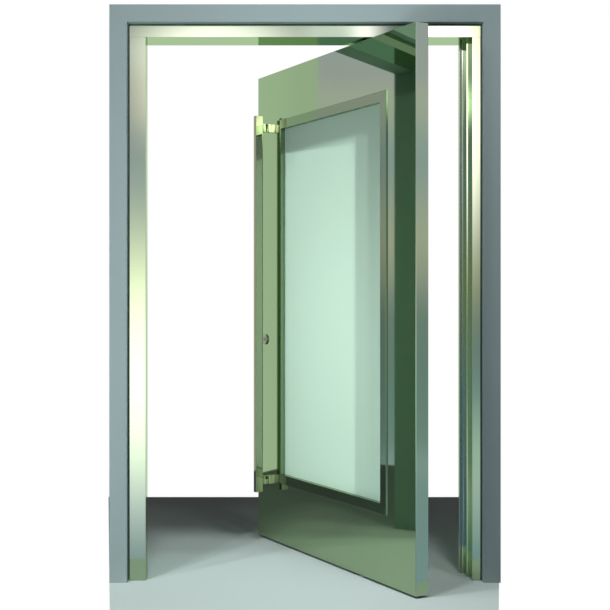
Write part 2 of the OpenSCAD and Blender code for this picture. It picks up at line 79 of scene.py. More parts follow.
class DoorSteelSettings(bpy.types.PropertyGroup):
    """Polished steel of the leaf, the frame and the handles"""

    tint: bpy.props.FloatVectorProperty(
        name="Steel tint", description="Mirror colour of the polished steel, linear",
        subtype="COLOR", size=3, min=0.0, max=1.0, default=(0.392, 0.547, 0.315))
    # The beads' tint is the steel tint darkened by about a third: painted shade on the beads' faces, which are the
    # same polished steel as the leaf.
    bead_shade_tint: bpy.props.FloatVectorProperty(
        name="Bead tint", description="Mirror colour of the darker glazing beads, linear",
        subtype="COLOR", size=3, min=0.0, max=1.0, default=(0.26, 0.37, 0.21))
    handle_tint: bpy.props.FloatVectorProperty(
        name="Handle tint", description="Mirror colour of the pull handles, linear",
        subtype="COLOR", size=3, min=0.0, max=1.0, default=(0.40, 0.43, 0.29))
    satin_tint: bpy.props.FloatVectorProperty(
        name="Satin tint", description="Colour of the brushed lock and pivot fittings, linear",
        subtype="COLOR", size=3, min=0.0, max=1.0, default=(0.40, 0.43, 0.41))
    edge_tint: bpy.props.FloatVectorProperty(
        name="Edge tint", description="Keeps the steel's colour at a glancing angle, linear",
        subtype="COLOR", size=3, min=0.0, max=1.0, default=(0.70, 0.80, 0.64))
    polish: bpy.props.FloatProperty(
        name="Polish roughness", description="Roughness of the polished faces",
        subtype="FACTOR", min=0.0, max=0.5, default=0.035)
    satin: bpy.props.FloatProperty(
        name="Satin roughness", description="Roughness of the brushed fittings",
        subtype="FACTOR", min=0.1, max=0.8, default=0.34)
    edge_radius: bpy.props.FloatProperty(
        name="Edge radius", description="Rounding of the folded steel edges",
        subtype="DISTANCE", unit="LENGTH", min=0.0, max=0.004, default=0.0008)


class DoorGlassSettings(bpy.types.PropertyGroup):
    """Satin glass unit"""

    tint: bpy.props.FloatVectorProperty(
        name="Glass tint", description="Colour of the satin panes, linear",
        subtype="COLOR", size=3, min=0.0, max=1.0, default=(0.70, 0.97, 0.79))
    transmission: bpy.props.FloatProperty(
        name="Transmission", description="Share of the light that passes through each pane",
        subtype="FACTOR", min=0.0, max=1.0, default=0.15)
    roughness: bpy.props.FloatProperty(
        name="Satin roughness", description="Roughness of the etched faces",
        subtype="FACTOR", min=0.0, max=1.0, default=0.48)


class DoorSurroundSettings(bpy.types.PropertyGroup):
    """Coated outer surround"""

    coat: bpy.props.FloatVectorProperty(
        name="Coating", description="Colour of the matte grey coating, linear",
        subtype="COLOR", size=3, min=0.0, max=1.0, default=(0.30, 0.39, 0.385))
    roughness: bpy.props.FloatProperty(
        name="Coating roughness", description="Roughness of the matte coating",
        subtype="FACTOR", min=0.1, max=1.0, default=0.62)
    edge_radius: bpy.props.FloatProperty(
        name="Edge radius", description="Rounding of the coated edges",
        subtype="DISTANCE", unit="LENGTH", min=0.0, max=0.01, default=0.0008)


class DoorStageSettings(bpy.types.PropertyGroup):
    """Camera, lamps, floor and reflection cards"""

    camera_place: bpy.props.FloatVectorProperty(
        name="Camera", description="Place of the camera", subtype="XYZ", unit="LENGTH",
        size=3, default=(-0.268, -5.1435, 1.264))
    lens: bpy.props.FloatProperty(
        name="Lens", description="Focal length in millimetres on a 36 mm sensor",
        min=20.0, max=200.0, default=66.98)
    shift: bpy.props.FloatProperty(
        name="Vertical shift", description="Sets the horizon a little above the middle of the picture",
        min=-0.2, max=0.2, default=-0.01443)
    floor_left: bpy.props.FloatProperty(
        name="Floor left", description="Left end of the floor and card that the steel mirrors",
        subtype="DISTANCE", unit="LENGTH", default=-3.117)
    floor_right: bpy.props.FloatProperty(
        name="Floor right", description="Right end of the floor that the steel mirrors",
        subtype="DISTANCE", unit="LENGTH", default=2.468)
    floor_front: bpy.props.FloatProperty(
        name="Floor front", description="Front edge of the floor that the steel mirrors",
        subtype="DISTANCE", unit="LENGTH", default=-0.51)
    floor_back: bpy.props.FloatProperty(
        name="Floor back", description="Back edge of the floor, where the white card stands",
        subtype="DISTANCE", unit="LENGTH", default=2.001)
    card_height: bpy.props.FloatProperty(
        name="Card height", description="Height of the white card behind the door",
        subtype="DISTANCE", unit="LENGTH", default=3.4)
    floor_colour: bpy.props.FloatVectorProperty(
        name="Floor colour", description="Colour of the pale floor, linear",
        subtype="COLOR", size=3, min=0.0, max=1.0, default=(0.525, 0.62, 0.605))
    floor_light: bpy.props.FloatProperty(
        name="Floor light", description="Brightness of the lamps that light the floor",
        min=0.0, max=4.0, default=1.0)
    door_light: bpy.props.FloatProperty(
        name="Door light", description="Brightness of the lamps that light the coated surround",
        min=0.0, max=4.0, default=1.0)
    glass_light: bpy.props.FloatProperty(
        name="Glass light", description="Brightness of the lamps that light the glass",
        min=0.0, max=4.0, default=1.0)
    ambient: bpy.props.FloatProperty(
        name="Ambient", description="Strength of the plain light from all round",
        min=0.0, max=2.0, default=0.02)


SETTINGS = (
    ("door_steel", DoorSteelSettings),
    ("door_glass", DoorGlassSettings),
    ("door_surround", DoorSurroundSettings),
    ("door_stage", DoorStageSettings),
)


# Node helpers

def math_node(tree, operation, first, second=None, third=None, clamp=False):
    """A Math node whose inputs are sockets or numbers; returns its output."""
    node = tree.nodes.new("ShaderNodeMath")
    node.operation = operation
    node.use_clamp = clamp
    for index, value in enumerate((first, second, third)):
        if value is None:
            continue
        if isinstance(value, (int, float)):
            node.inputs[index].default_value = value
        else:
            tree.links.new(value, node.inputs[index])
    return node.outputs[0]


def mix_colour(tree, factor, first, second, blend="MIX"):
    """A colour Mix node; factor, first and second are sockets or plain values."""
    node = tree.nodes.new("ShaderNodeMix")
    node.data_type = "RGBA"
    node.blend_type = blend
    for index, value in ((0, factor), (6, first), (7, second)):
        if isinstance(value, bpy.types.NodeSocket):
            tree.links.new(value, node.inputs[index])
        elif index == 0:
            node.inputs[index].default_value = value
        else:
            node.inputs[index].default_value = (*value, 1.0)
    return node.outputs[2]


def map_range(tree, value, low, high, out_low, out_high, smooth=False):
    """A Map Range node; returns its output."""
    node = tree.nodes.new("ShaderNodeMapRange")
    node.interpolation_type = "SMOOTHSTEP" if smooth else "LINEAR"
    node.inputs["From Min"].default_value = low
    node.inputs["From Max"].default_value = high
    node.inputs["To Min"].default_value = out_low
    node.inputs["To Max"].default_value = out_high
    tree.links.new(value, node.inputs["Value"])
    return node.outputs["Result"]


def stretched_noise(tree, stretch, detail, roughness):
    """Noise in the piece's own coordinates, as fine along each axis as stretch says."""
    coordinates = tree.nodes.new("ShaderNodeTexCoord")
    mapping = tree.nodes.new("ShaderNodeMapping")
    mapping.inputs["Scale"].default_value = stretch
    tree.links.new(coordinates.outputs["Object"], mapping.inputs["Vector"])
    noise = tree.nodes.new("ShaderNodeTexNoise")
    noise.inputs["Scale"].default_value = 1.0
    noise.inputs["Detail"].default_value = detail
    noise.inputs["Roughness"].default_value = roughness
    tree.links.new(mapping.outputs["Vector"], noise.inputs["Vector"])
    return noise.outputs["Fac"]


def cell_pattern(tree, scale, randomness):
    """A Voronoi node in the piece's own coordinates."""
    coordinates = tree.nodes.new("ShaderNodeTexCoord")
    cells = tree.nodes.new("ShaderNodeTexVoronoi")
    cells.inputs["Scale"].default_value = scale
    cells.inputs["Randomness"].default_value = randomness
    tree.links.new(coordinates.outputs["Object"], cells.inputs["Vector"])
    return cells


def bump_node(tree, height, distance):
    """A Bump node over height; returns it, so that its strength can be set or linked."""
    bump = tree.nodes.new("ShaderNodeBump")
    bump.inputs["Distance"].default_value = distance
    tree.links.new(height, bump.inputs["Height"])
    return bump


def link_surface(tree, shader, colour, roughness, normal):
    """Joins what changes over the surface to the shader."""
    tree.links.new(colour, shader.inputs["Base Color"])
    tree.links.new(roughness, shader.inputs["Roughness"])
    tree.links.new(normal, shader.inputs["Normal"])


def open_group(name, inputs, outputs):
    """A new shader node group with those sockets; returns the tree, its input and its output node."""
    tree = bpy.data.node_groups.new(name, "ShaderNodeTree")
    for socket_name, kind, value in inputs:
        socket = tree.interface.new_socket(socket_name, in_out="INPUT", socket_type=kind)
        socket.default_value = value
    for socket_name, kind in outputs:
        tree.interface.new_socket(socket_name, in_out="OUTPUT", socket_type=kind)
    return tree, tree.nodes.new("NodeGroupInput"), tree.nodes.new("NodeGroupOutput")


def place_group(tree, group, **values):
    """Puts a node group into a material with its own values."""
    node = tree.nodes.new("ShaderNodeGroup")
    node.node_tree = group
    for key, value in values.items():
        node.inputs[key.replace("_", " ")].default_value = value
    return node


def new_material(name):
    """An empty material; returns it with its tree and Principled shader."""
    material = bpy.data.materials.new(name)
    material.use_nodes = True
    tree = material.node_tree
    tree.nodes.clear()
    output = tree.nodes.new("ShaderNodeOutputMaterial")
    shader = tree.nodes.new("ShaderNodeBsdfPrincipled")
    tree.links.new(shader.outputs["BSDF"], output.inputs["Surface"])
    return material, tree, shader


# Shared effects

def polishing_marks_group():
    """Fine grain and faint handling marks of polished or brushed metal."""
    group = bpy.data.node_groups.get("Polishing Marks")
    if group:
        return group
    tree, source, sink = open_group(
        "Polishing Marks",
        [("Colour", "NodeSocketColor", (0.5, 0.5, 0.5, 1.0)),
         ("Roughness", "NodeSocketFloat", 0.1),
         ("Grain Depth", "NodeSocketFloat", 0.02),
         ("Marks", "NodeSocketFloat", 0.3)],
        [("Colour", "NodeSocketColor"), ("Roughness", "NodeSocketFloat"), ("Normal", "NodeSocketVector")])
    grain = stretched_noise(tree, (900.0, 900.0, 6.0), 4.0, 0.6)
    sheet_tone = stretched_noise(tree, (2.2, 2.2, 0.8), 2.0, 0.5)
    smudge = stretched_noise(tree, (9.0, 9.0, 7.0), 5.0, 0.62)
    smudge_mask = map_range(tree, smudge, 0.52, 0.74, 0.0, 1.0, smooth=True)
    marked = math_node(tree, "MULTIPLY", smudge_mask, source.outputs["Marks"])
    tone = map_range(tree, sheet_tone, 0.3, 0.7, 0.985, 1.015)
    dimming = math_node(tree, "MULTIPLY_ADD", marked, -0.05, 1.0)
    shade = math_node(tree, "MULTIPLY", tone, dimming)
    value = tree.nodes.new("ShaderNodeCombineColor")
    for socket in value.inputs:
        tree.links.new(shade, socket)
    colour = mix_colour(tree, 1.0, source.outputs["Colour"], value.outputs[0], "MULTIPLY")
    grain_rough = map_range(tree, grain, 0.3, 0.7, 0.85, 1.15)
    base = math_node(tree, "MULTIPLY", source.outputs["Roughness"], grain_rough)
    extra = math_node(tree, "MULTIPLY", marked, 0.06)
    roughness = math_node(tree, "ADD", base, extra, clamp=True)
    bump = bump_node(tree, grain, 0.0001)
    tree.links.new(source.outputs["Grain Depth"], bump.inputs["Strength"])
    tree.links.new(colour, sink.inputs["Colour"])
    tree.links.new(roughness, sink.inputs["Roughness"])
    tree.links.new(bump.outputs["Normal"], sink.inputs["Normal"])
    return tree


def settled_dust_group():
    """Dust that lies on faces that look up and near the floor."""
    group = bpy.data.node_groups.get("Settled Dust")
    if group:
        return group
    tree, source, sink = open_group(
        "Settled Dust",
        [("Colour", "NodeSocketColor", (0.5, 0.5, 0.5, 1.0)),
         ("Dust Colour", "NodeSocketColor", (0.55, 0.56, 0.54, 1.0)),
         ("Amount", "NodeSocketFloat", 0.3)],
        [("Colour", "NodeSocketColor")])
    geometry = tree.nodes.new("ShaderNodeNewGeometry")
    facing = tree.nodes.new("ShaderNodeSeparateXYZ")
    tree.links.new(geometry.outputs["Normal"], facing.inputs[0])
    place = tree.nodes.new("ShaderNodeSeparateXYZ")
    coordinates = tree.nodes.new("ShaderNodeTexCoord")
    tree.links.new(coordinates.outputs["Object"], place.inputs[0])
    upward = map_range(tree, facing.outputs["Z"], 0.4, 0.95, 0.0, 1.0)
    low = map_range(tree, place.outputs["Z"], 0.0, 0.10, 0.35, 0.0)
    patches = stretched_noise(tree, (14.0, 14.0, 14.0), 4.0, 0.6)
    patch_mask = map_range(tree, patches, 0.35, 0.7, 0.2, 1.0)
    lying = math_node(tree, "ADD", upward, low, clamp=True)
    mask = math_node(tree, "MULTIPLY", lying, patch_mask)
    mask = math_node(tree, "MULTIPLY", mask, source.outputs["Amount"], clamp=True)
    colour = mix_colour(tree, mask, source.outputs["Colour"], source.outputs["Dust Colour"])
    tree.links.new(colour, sink.inputs["Colour"])
    return tree


# Finishes

def metal_finish(name, tint, roughness, grain_depth, marks):
    """Bare metal with polishing marks."""
    material, tree, shader = new_material(name)
    group = place_group(tree, polishing_marks_group(), Colour=(*tint, 1.0), Roughness=roughness,
                        Grain_Depth=grain_depth, Marks=marks)
    shader.inputs["Metallic"].default_value = 1.0
    shader.inputs["Specular Tint"].default_value = (*bpy.context.scene.door_steel.edge_tint, 1.0)
    link_surface(tree, shader, *(group.outputs[key] for key in ("Colour", "Roughness", "Normal")))
    return material


def coating_finish(name, colour, roughness):
    """Matte stove-enamelled coating with a fine orange peel and settled dust."""
    material, tree, shader = new_material(name)
    tone = stretched_noise(tree, (1.6, 1.6, 0.9), 3.0, 0.5)
    dark = tuple(0.96 * c for c in colour)
    light = tuple(1.04 * c for c in colour)
    base = mix_colour(tree, map_range(tree, tone, 0.3, 0.7, 0.0, 1.0), dark, light)
    dust = place_group(tree, settled_dust_group(), Amount=0.35)
    tree.links.new(base, dust.inputs["Colour"])
    peel = stretched_noise(tree, (420.0, 420.0, 420.0), 2.0, 0.5)
    rough = map_range(tree, peel, 0.3, 0.7, roughness - 0.05, roughness + 0.05)
    bump = bump_node(tree, peel, 0.0003)
    bump.inputs["Strength"].default_value = 0.12
    link_surface(tree, shader, dust.outputs["Colour"], rough, bump.outputs["Normal"])
    return material


def rubber_finish(name, colour, roughness):
    """Matte extruded rubber with fine length-wise ribs."""
    material, tree, shader = new_material(name)
    ribs = stretched_noise(tree, (700.0, 700.0, 30.0), 2.0, 0.5)
    dust = place_group(tree, settled_dust_group(), Colour=(*colour, 1.0), Amount=0.25)
    rough = map_range(tree, ribs, 0.3, 0.7, roughness - 0.08, roughness + 0.06)
    bump = bump_node(tree, ribs, 0.0002)
    bump.inputs["Strength"].default_value = 0.25
    link_surface(tree, shader, dust.outputs["Colour"], rough, bump.outputs["Normal"])
    return material


def glass_finish(name, tint, transmission, roughness):
    """Satin mint glass with a very faint cloud in its etched face."""
    material, tree, shader = new_material(name)
    cloud = stretched_noise(tree, (2.0, 2.0, 1.4), 3.0, 0.5)
    etching = stretched_noise(tree, (1500.0, 1500.0, 1500.0), 2.0, 0.5)
    clouded = tuple(0.985 * c for c in tint)
    base = mix_colour(tree, map_range(tree, cloud, 0.35, 0.7, 0.0, 1.0), tint, clouded)
    rough = map_range(tree, cloud, 0.3, 0.7, roughness - 0.02, roughness + 0.02)
    bump = bump_node(tree, etching, 0.0001)
    bump.inputs["Strength"].default_value = 0.05
    link_surface(tree, shader, base, rough, bump.outputs["Normal"])
    shader.inputs["Transmission Weight"].default_value = transmission
    shader.inputs["IOR"].default_value = 1.46
    shader.inputs["Specular IOR Level"].default_value = 0.25
    return material


def galvanised_finish(name):
    """Zinc-coated tube of the leaf's core."""
    material, tree, shader = new_material(name)
    cells = cell_pattern(tree, 90.0, 1.0)
    spangle = tree.nodes.new("ShaderNodeSeparateColor")
    tree.links.new(cells.outputs["Color"], spangle.inputs[0])
    base = mix_colour(tree, spangle.outputs[0], (0.24, 0.25, 0.25), (0.38, 0.40, 0.40))
    rough = map_range(tree, spangle.outputs[0], 0.0, 1.0, 0.38, 0.58)
    tree.links.new(base, shader.inputs["Base Color"])
    tree.links.new(rough, shader.inputs["Roughness"])
    shader.inputs["Metallic"].default_value = 0.9
    return material


def spacer_finish(name):
    """Matte aluminium spacer with a grid of tiny vent holes."""
    material, tree, shader = new_material(name)
    holes = cell_pattern(tree, 260.0, 0.0)
    dot = map_range(tree, holes.outputs["Distance"], 0.16, 0.22, 0.0, 1.0)
    base = mix_colour(tree, dot, (0.05, 0.05, 0.05), (0.52, 0.54, 0.53))
    bump = bump_node(tree, dot, 0.0004)
    bump.inputs["Strength"].default_value = 0.4
    tree.links.new(base, shader.inputs["Base Color"])
    tree.links.new(bump.outputs["Normal"], shader.inputs["Normal"])
    shader.inputs["Roughness"].default_value = 0.45
    shader.inputs["Metallic"].default_value = 0.9
    return material


FINISHES = {}


def finish(name):
    """The finish of that name, made on first use."""
    if name not in FINISHES:
        FINISHES[name] = build_finish(name)
        FINISHES[name].name = name + "_finish"
    return FINISHES[name]


def build_finish(name):
    """Builds the finish of that name."""
    scene = bpy.context.scene
    steel = scene.door_steel
    if name == "leaf_steel":
        return metal_finish(name, tuple(steel.tint), steel.polish, 0.012, 0.25)
    if name == "frame_steel":
        return metal_finish(name, tuple(steel.tint), steel.polish * 1.6, 0.016, 0.2)
    # The beads take a darkened copy of the leaf's steel: painted shade.
    if name == "bead_steel":
        return metal_finish(name, tuple(steel.bead_shade_tint), steel.polish, 0.012, 0.2)
    if name == "handle_steel":
        return metal_finish(name, tuple(steel.handle_tint), steel.polish, 0.01, 0.35)
    if name == "satin_steel":
        return metal_finish(name, tuple(steel.satin_tint), steel.satin, 0.25, 0.4)
    if name == "grey_coating":
        return coating_finish(name, tuple(scene.door_surround.coat), scene.door_surround.roughness)
    if name == "black_rubber":
        return rubber_finish(name, (0.006, 0.008, 0.007), 0.62)
    if name == "grey_rubber":
        return rubber_finish(name, (0.36, 0.44, 0.34), 0.4)
    if name == "mint_glass":
        glass = scene.door_glass
        return glass_finish(name, tuple(glass.tint), glass.transmission, glass.roughness)
    if name == "core_metal":
        return galvanised_finish(name)
    if name == "spacer_aluminium":
        return spacer_finish(name)
    raise ValueError(f"there is no finish named {name}")


# Mesh helpers

def dress(name, finish_name, radius=0.0, segments=2):
    """Gives a packed node its finish, and rounds its edges where radius is set."""
    node = NODES[name]
    node.data.materials.clear()
    node.data.materials.append(finish(finish_name))
    if radius > 0.0:
        weld = node.modifiers.new("Join corners", "WELD")
        weld.merge_threshold = 0.00002
        bevel = node.modifiers.new("Rounded edges", "BEVEL")
        bevel.width = radius
        bevel.segments = segments
        bevel.limit_method = "ANGLE"
        bevel.angle_limit = math.radians(35.0)
        bevel.harden_normals = False
        bevel.use_clamp_overlap = True
        smooth = node.modifiers.new("Even shading", "WEIGHTED_NORMAL")
        smooth.keep_sharp = False
        smooth.weight = 100


def new_piece(name, mesh_data, finish_name, body):
    """Makes an object from a bmesh, gives it its finish and lets it ride on a body."""
    data = bpy.data.meshes.new(name)
    mesh_data.to_mesh(data)
    mesh_data.free()
    piece = bpy.data.objects.new(name, data)
    bpy.context.scene.collection.objects.link(piece)
    piece.data.materials.append(finish(finish_name))
    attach(piece, body)
    return piece


# Screws: radius and height of the head, radius of the six-sided socket
STRIKE_SCREW = (0.0042, 0.0012, 0.0018)
FACEPLATE_SCREW = (0.0042, 0.0004, 0.0018)
GRUB_SCREW = (0.003, 0.0006, 0.0014)
SCREW_SIDES = 24
# Distance of a plate's screws from its ends, and of a grub screw from the foot of its arm
PLATE_SCREW_INSET = 0.014
GRUB_SCREW_INSET = 0.012
# Room round the floor plate's screws in their holes, and how deep they sit
FLOOR_SCREW_ROOM_MM = 0.2
FLOOR_SCREW_DEPTH = 0.002
FLOOR_SCREW_HEAD = 0.0016
FLOOR_SCREW_SOCKET = 0.0017


def add_screw(target, place, outward, size):
    """Adds a low button-head screw with a six-sided socket, its head standing out along outward."""
    head_radius, head_height, recess_radius = size
    turn = Vector((0.0, 0.0, 1.0)).rotation_difference(Vector(outward)).to_matrix().to_4x4()
    matrix = Matrix.Translation(Vector(place)) @ turn
    rings = []
    profile = (
        (head_radius, -0.3 * head_height),
        (head_radius, 0.35 * head_height),
        (0.86 * head_radius, 0.82 * head_height),
        (0.62 * head_radius, head_height),
    )
    for radius, height in profile:
        ring = []
        for index in range(SCREW_SIDES):
            angle = 2.0 * math.pi * index / SCREW_SIDES
            point = matrix @ Vector((radius * math.cos(angle), radius * math.sin(angle), height))
            ring.append(target.verts.new(point))
        rings.append(ring)
    for height in (head_height, 0.25 * head_height):
        ring = []
        for index in range(SCREW_SIDES):
            angle = 2.0 * math.pi * index / SCREW_SIDES
            sector = (angle + math.pi / 6.0) % (math.pi / 3.0) - math.pi / 6.0
            reach = recess_radius * math.cos(math.pi / 6.0) / math.cos(sector)
            point = matrix @ Vector((reach * math.cos(angle), reach * math.sin(angle), height))
            ring.append(target.verts.new(point))
        rings.append(ring)
    for lower, upper in zip(rings, rings[1:]):
        for index in range(SCREW_SIDES):
            after = (index + 1) % SCREW_SIDES
            target.faces.new((lower[index], lower[after], upper[after], upper[index]))
    target.faces.new(list(reversed(rings[0])))
    target.faces.new(rings[-1])


def leaf_point(along, out, height):
    """A point given in the closed leaf's own directions, turned to where the leaf stands."""
    return LEAF_TURN @ Vector((along, out, height))


def leaf_direction(along, out, height):
    """A direction given for the closed leaf, turned with it."""
    return (LEAF_TURN @ Vector((along, out, height, 0.0))).to_3d()


def closed_box(node_name):
    """Lowest and highest corner of a leaf node, measured with the leaf turned back to closed."""
    back = LEAF_TURN.inverted()
    points = [back @ v.co for v in NODES[node_name].data.vertices]
    low = Vector((min(p[i] for p in points) for i in range(3)))
    high = Vector((max(p[i] for p in points) for i in range(3)))
    return low, high


# Pieces

class DOOR_OT_finish_surround(bpy.types.Operator):
    """Coats the outer surround and finishes the dark seal inside it"""

    bl_idname = "door.finish_surround"
    bl_label = "Outer Surround"

    def execute(self, context):
        radius = context.scene.door_surround.edge_radius
        for name in ("surround_left", "surround_right", "surround_head"):
            dress(name, "grey_coating", radius)
        dress("shadow_gap_seal", "black_rubber", 0.0006)
        return {"FINISHED"}


class DOOR_OT_finish_frame(bpy.types.Operator):
    """Polishes the jambs and the header, finishes the seals and strike plate, and adds its screws"""

    bl_idname = "door.finish_frame"
    bl_label = "Steel Frame"

    def execute(self, context):
        radius = context.scene.door_steel.edge_radius
        for name in ("lock_jamb", "heel_jamb", "header"):
            dress(name, "frame_steel", radius)
        dress("stop_seals", "grey_rubber", 0.001, 3)
        dress("strike_plate", "satin_steel", 0.0004)
        low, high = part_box("strike_plate")
        screws = bmesh.new()
        for height in (low.z + PLATE_SCREW_INSET, high.z - PLATE_SCREW_INSET):
            add_screw(screws, (high.x, (low.y + high.y) / 2, height), (1, 0, 0), STRIKE_SCREW)
        new_piece("strike_plate_screws", screws, "satin_steel", "frame")
        return {"FINISHED"}


class DOOR_OT_finish_leaf(bpy.types.Operator):
    """Polishes the leaf's face sheets and edge strips, and finishes its core and bottom seal"""

    bl_idname = "door.finish_leaf"
    bl_label = "Leaf"

    def execute(self, context):
        radius = context.scene.door_steel.edge_radius
        for name in ("front_skin", "rear_skin"):
            dress(name, "leaf_steel")
        for name in ("lock_edge_cap", "heel_edge_cap", "top_edge_cap"):
            dress(name, "leaf_steel", radius / 2)
        for name in ("lock_stile", "heel_stile", "top_rail", "bottom_rail"):
            dress(name, "core_metal")
        dress("bottom_seal", "black_rubber", 0.001)
        return {"FINISHED"}


class DOOR_OT_glaze(bpy.types.Operator):
    """Finishes the panes, the spacer, the gaskets and the mitred beads on both faces"""

    bl_idname = "door.glaze"
    bl_label = "Glazing"

    def execute(self, context):
        radius = context.scene.door_steel.edge_radius
        for name in ("outer_glass", "inner_glass"):
            dress(name, "mint_glass")
        dress("glass_spacer", "spacer_aluminium")
        dress("glass_gaskets", "black_rubber")
        for face in ("front", "rear"):
            for side in ("top", "bottom", "lock", "heel"):
                # The beads get the darkened steel, which paints shade on them.
                dress(f"{face}_bead_{side}", "bead_steel", 0.3 * radius)
        return {"FINISHED"}


class DOOR_OT_pull_handles(bpy.types.Operator):
    """Polishes the pull bars and their arms, and sets the grub screws that hold them"""

    bl_idname = "door.pull_handles"
    bl_label = "Pull Handles"

    def execute(self, context):
        radius = context.scene.door_steel.edge_radius
        for face, out in (("front", -1.0), ("rear", 1.0)):
            dress(f"{face}_pull_bar", "handle_steel", radius / 2)
            dress(f"{face}_pull_arms", "handle_steel", radius / 2)
            low, high = closed_box(f"{face}_pull_arms")
            foot = low.y + GRUB_SCREW_INSET if out > 0 else high.y - GRUB_SCREW_INSET
            screws = bmesh.new()
            for height, outward in ((low.z, (0, 0, -1)), (high.z, (0, 0, 1))):
                place = leaf_point((low.x + high.x) / 2, foot, height)
                add_screw(screws, place, outward, GRUB_SCREW)
            new_piece(f"{face}_pull_screws", screws, "satin_steel", "leaf")
        return {"FINISHED"}


class DOOR_OT_lock(bpy.types.Operator):
    """Finishes the roses, cylinder, bolts and faceplate, and fits the faceplate's screws"""

    bl_idname = "door.lock"
    bl_label = "Lock"

    def execute(self, context):
        for name in ("front_lock_rose", "rear_lock_rose"):
            dress(name, "handle_steel")
        dress("lock_cylinder", "satin_steel")
        dress("lock_bolts", "satin_steel", 0.0012, 3)
        dress("lock_faceplate", "satin_steel", 0.0003)
        low, high = closed_box("lock_faceplate")
        screws = bmesh.new()
        for height in (low.z + PLATE_SCREW_INSET, high.z - PLATE_SCREW_INSET):
            place = leaf_point(low.x, (low.y + high.y) / 2, height)
            add_screw(screws, place, leaf_direction(-1, 0, 0), FACEPLATE_SCREW)
        new_piece("faceplate_screws", screws, "satin_steel", "leaf")
        return {"FINISHED"}


class DOOR_OT_pivots(bpy.types.Operator):
    """Finishes the floor and head pivots and fits the floor plate's screws"""

    bl_idname = "door.pivots"
    bl_label = "Pivots"

    def execute(self, context):
        dress("floor_plate", "satin_steel")
        for name in ("bottom_pivot_pin", "bottom_pivot_block", "top_pivot", "top_pivot_block"):
            dress(name, "satin_steel")
        bolts = next(m for m in frame["record"]["mounts"] if m["name"] == "floor_bolts")["dims"]
        size = ((bolts["hole_r_mm"] - FLOOR_SCREW_ROOM_MM) * MM, FLOOR_SCREW_HEAD, FLOOR_SCREW_SOCKET)
        reach = bolts["pcd_mm"] / 2 * MM
        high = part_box("floor_plate")[1]
        screws = bmesh.new()
        for index in range(bolts["count"]):
            angle = (index + 0.5) * 2.0 * math.pi / bolts["count"]
            place = (reach * math.cos(angle), reach * math.sin(angle), high.z - FLOOR_SCREW_DEPTH)
            add_screw(screws, place, (0, 0, 1), size)
        new_piece("floor_plate_screws", screws, "satin_steel", "frame")
        return {"FINISHED"}


# Studio

def sum_of_squares(tree, first, second):
    """The squares of two sockets, added."""
    squares = [math_node(tree, "MULTIPLY", value, value) for value in (first, second)]
    return math_node(tree, "ADD", *squares)


def soft_box(tree, across, up, centre, size, colour):
    """One soft glow on the card in front of the door; returns a colour socket."""
    side = math_node(tree, "DIVIDE", math_node(tree, "SUBTRACT", across, centre[0]), size[0])
    rise = math_node(tree, "DIVIDE", math_node(tree, "SUBTRACT", up, centre[1]), size[1])
    total = sum_of_squares(tree, side, rise)
    fall = math_node(tree, "EXPONENT", math_node(tree, "MULTIPLY", total, -1.0))
    scaled = tree.nodes.new("ShaderNodeVectorMath")
    scaled.operation = "MULTIPLY"
    tree.links.new(grey_of(tree, fall), scaled.inputs[0])
    scaled.inputs[1].default_value = colour
    return scaled.outputs[0]


def grey_of(tree, value):
    """A grey colour of that value, which may be above one."""
    combine = tree.nodes.new("ShaderNodeCombineXYZ")
    for socket in combine.inputs:
        tree.links.new(value, socket)
    return combine.outputs[0]


def add_colours(tree, first, second):
    """Sum of two colour or vector sockets."""
    node = tree.nodes.new("ShaderNodeVectorMath")
    node.operation = "ADD"
    tree.links.new(first, node.inputs[0])
    tree.links.new(second, node.inputs[1])
    return node.outputs[0]


# Bands that polished steel mirrors: slope above the horizon, and colour. They stand for the room round the
# door. Their colours were set from the bands on the photo's steel.
SKY_STEPS = (
    (-0.30, (0.43, 0.50, 0.81)),
    (-0.17, (0.36, 0.44, 0.64)),
    (-0.148, (0.52, 0.57, 0.85)),
    (-0.125, (0.32, 0.40, 0.54)),
    (-0.02, (0.28, 0.34, 0.46)),
    (0.015, (0.62, 0.53, 0.68)),
    (0.055, (0.86, 0.69, 0.75)),
    (0.105, (0.55, 0.56, 0.83)),
    (0.135, (0.58, 0.57, 0.85)),
    (0.170, (0.87, 0.73, 0.87)),
    (0.195, (0.72, 0.59, 0.91)),
    (0.30, (0.66, 0.59, 0.97)),
)
# Keeps the slope finite straight up and down
LEAST_LEVEL = 0.001

# Soft boxes on the card in front of the door: centre and half size across and up, and colour. The first
# seven and CARD_STEPS come from a least-squares fit to the photo's steel, the rest were added one by one.
SOFT_BOXES = (
    ((-1.088, 3.604), (0.745, 0.322), (2.83, 2.14, 2.90)),
    ((-1.806, 0.517), (0.668, 1.205), (2.95, 2.45, 2.68)),
    ((1.214, 3.146), (0.186, 1.124), (4.83, 3.43, 3.93)),
    ((1.320, -0.372), (0.181, 0.822), (0.68, 0.65, 0.46)),
    ((-1.427, 3.097), (0.456, 0.391), (1.76, 1.14, 1.37)),
    ((0.000, 3.998), (0.247, 0.546), (1.12, 0.96, 1.28)),
    ((0.295, 3.706), (0.150, 0.558), (2.31, 1.60, 2.48)),
    ((-0.190, 1.150), (0.080, 1.900), (0.85, 0.75, 1.25)),
    ((-0.300, -0.400), (0.300, 1.200), (0.35, 0.25, 0.00)),
    ((-0.190, 3.080), (0.140, 0.160), (8.50, 7.40, 8.50)),
    ((-0.190, -0.650), (0.140, 0.280), (0.80, 0.80, 0.60)),
    ((0.960, 3.750), (0.170, 0.300), (5.50, 3.90, 5.50)),
)
